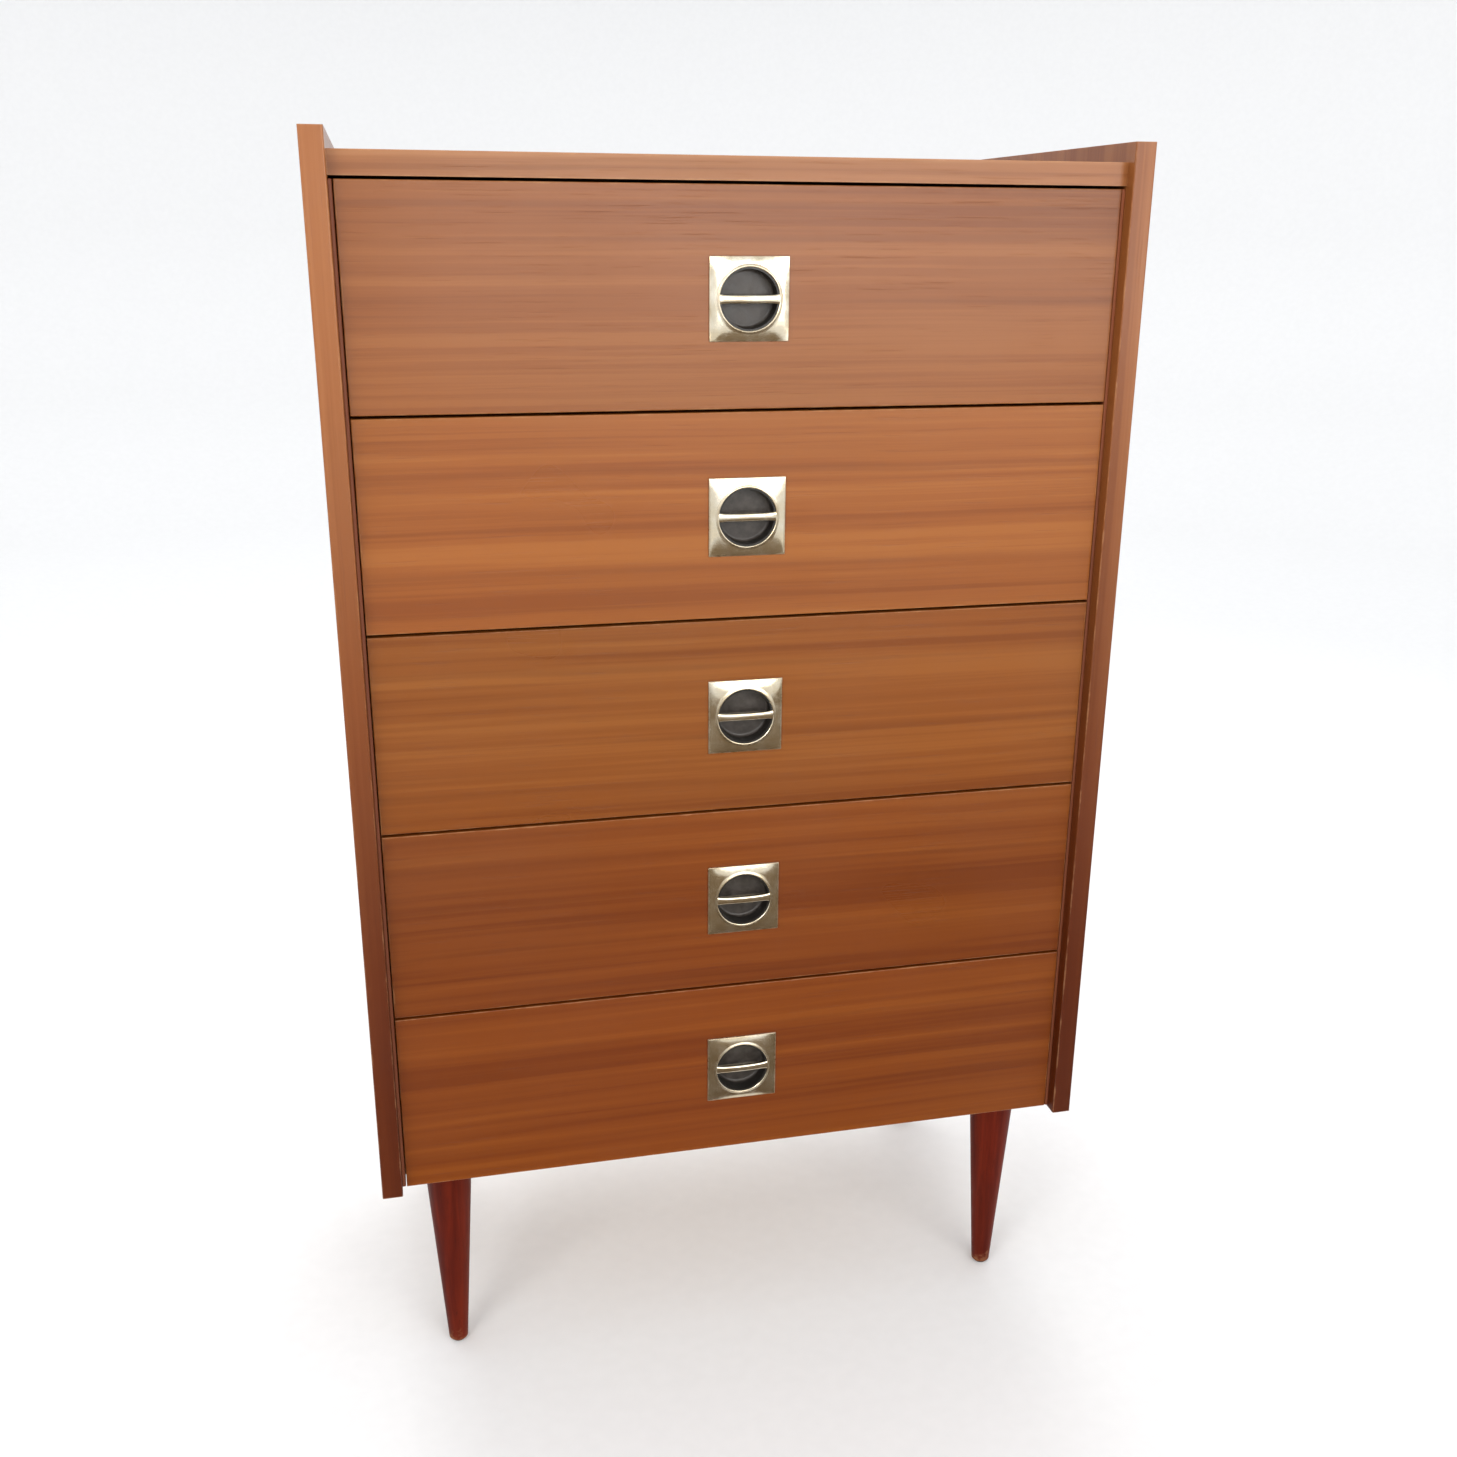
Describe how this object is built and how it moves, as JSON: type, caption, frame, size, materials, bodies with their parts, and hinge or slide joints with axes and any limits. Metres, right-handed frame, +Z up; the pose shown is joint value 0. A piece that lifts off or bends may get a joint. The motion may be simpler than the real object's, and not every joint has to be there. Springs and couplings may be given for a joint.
{
  "type": "tall chest of drawers",
  "caption": "Tall wooden chest of equal sliding drawers with square metal finger pulls, sides standing proud of the top, on slim tapered turned legs.",
  "frame": {"origin": "on the floor under the middle of the chest's width and depth", "axes": "+Z up, the drawers face -Y and slide out along -Y, +X to the right of a person facing the drawers"},
  "size_m": [0.7, 0.4, 1.16],
  "materials": {
    "side_veneer": "satin lacquered, warm mid-brown veneer, upright grain",
    "top_veneer": "satin lacquered, warm mid-brown veneer, grain from side to side",
    "bottom_board": "plain unlacquered board",
    "back_hardboard": "brown hardboard, smooth face",
    "steel_pins": "dull steel",
    "beech_dowels": "plain beech",
    "runner_hardwood": "plain beech, waxed",
    "zinc_screws": "zinc plated",
    "leg_wood": "dark red-brown stain, satin lacquer",
    "plate_steel": "zinc plated",
    "glide_plastic": "moulded, worn",
    "front_veneer": "satin lacquered, warm mid-brown veneer, grain from side to side",
    "box_wood": "plain sanded hardwood",
    "box_hardboard": "hardboard, smooth face up",
    "pull_brass": "polished pale brass plating",
    "cup_plastic": "black moulded",
    "pull_screws": "zinc plated"
  },
  "bodies": {
    "carcass": {"side_left": "side_veneer", "side_right": "side_veneer", "top_panel": "top_veneer", "bottom_panel": "bottom_board", "back_panel": "back_hardboard", "back_panel_pins": "steel_pins", "carcass_dowels": "beech_dowels", "runners_left": "runner_hardwood", "runners_right": "runner_hardwood", "runner_screws": "zinc_screws", "leg_front_left": "leg_wood", "leg_front_right": "leg_wood", "leg_back_left": "leg_wood", "leg_back_right": "leg_wood", "leg_plates": "plate_steel", "leg_bolts": "plate_steel", "leg_plate_screws": "zinc_screws", "leg_glides": "glide_plastic"},
    "drawer_1": {"drawer_1_front": "front_veneer", "drawer_1_side_left": "box_wood", "drawer_1_side_right": "box_wood", "drawer_1_back": "box_wood", "drawer_1_bottom": "box_hardboard", "drawer_1_pull_frame": "pull_brass", "drawer_1_pull_cup": "cup_plastic", "drawer_1_pull_screws": "pull_screws"},
    "drawer_2": {"drawer_2_front": "front_veneer", "drawer_2_side_left": "box_wood", "drawer_2_side_right": "box_wood", "drawer_2_back": "box_wood", "drawer_2_bottom": "box_hardboard", "drawer_2_pull_frame": "pull_brass", "drawer_2_pull_cup": "cup_plastic", "drawer_2_pull_screws": "pull_screws"},
    "drawer_3": {"drawer_3_front": "front_veneer", "drawer_3_side_left": "box_wood", "drawer_3_side_right": "box_wood", "drawer_3_back": "box_wood", "drawer_3_bottom": "box_hardboard", "drawer_3_pull_frame": "pull_brass", "drawer_3_pull_cup": "cup_plastic", "drawer_3_pull_screws": "pull_screws"},
    "drawer_4": {"drawer_4_front": "front_veneer", "drawer_4_side_left": "box_wood", "drawer_4_side_right": "box_wood", "drawer_4_back": "box_wood", "drawer_4_bottom": "box_hardboard", "drawer_4_pull_frame": "pull_brass", "drawer_4_pull_cup": "cup_plastic", "drawer_4_pull_screws": "pull_screws"},
    "drawer_5": {"drawer_5_front": "front_veneer", "drawer_5_side_left": "box_wood", "drawer_5_side_right": "box_wood", "drawer_5_back": "box_wood", "drawer_5_bottom": "box_hardboard", "drawer_5_pull_frame": "pull_brass", "drawer_5_pull_cup": "cup_plastic", "drawer_5_pull_screws": "pull_screws"}
  },
  "joints": [
    {"name": "drawer_1_slide", "type": "slide", "parent": "carcass", "child": "drawer_1", "axis": [0, -1, 0], "range_m": [0, 0.29]},
    {"name": "drawer_2_slide", "type": "slide", "parent": "carcass", "child": "drawer_2", "axis": [0, -1, 0], "range_m": [0, 0.29]},
    {"name": "drawer_3_slide", "type": "slide", "parent": "carcass", "child": "drawer_3", "axis": [0, -1, 0], "range_m": [0, 0.29]},
    {"name": "drawer_4_slide", "type": "slide", "parent": "carcass", "child": "drawer_4", "axis": [0, -1, 0], "range_m": [0, 0.29]},
    {"name": "drawer_5_slide", "type": "slide", "parent": "carcass", "child": "drawer_5", "axis": [0, -1, 0], "range_m": [0, 0.29]}
  ]
}
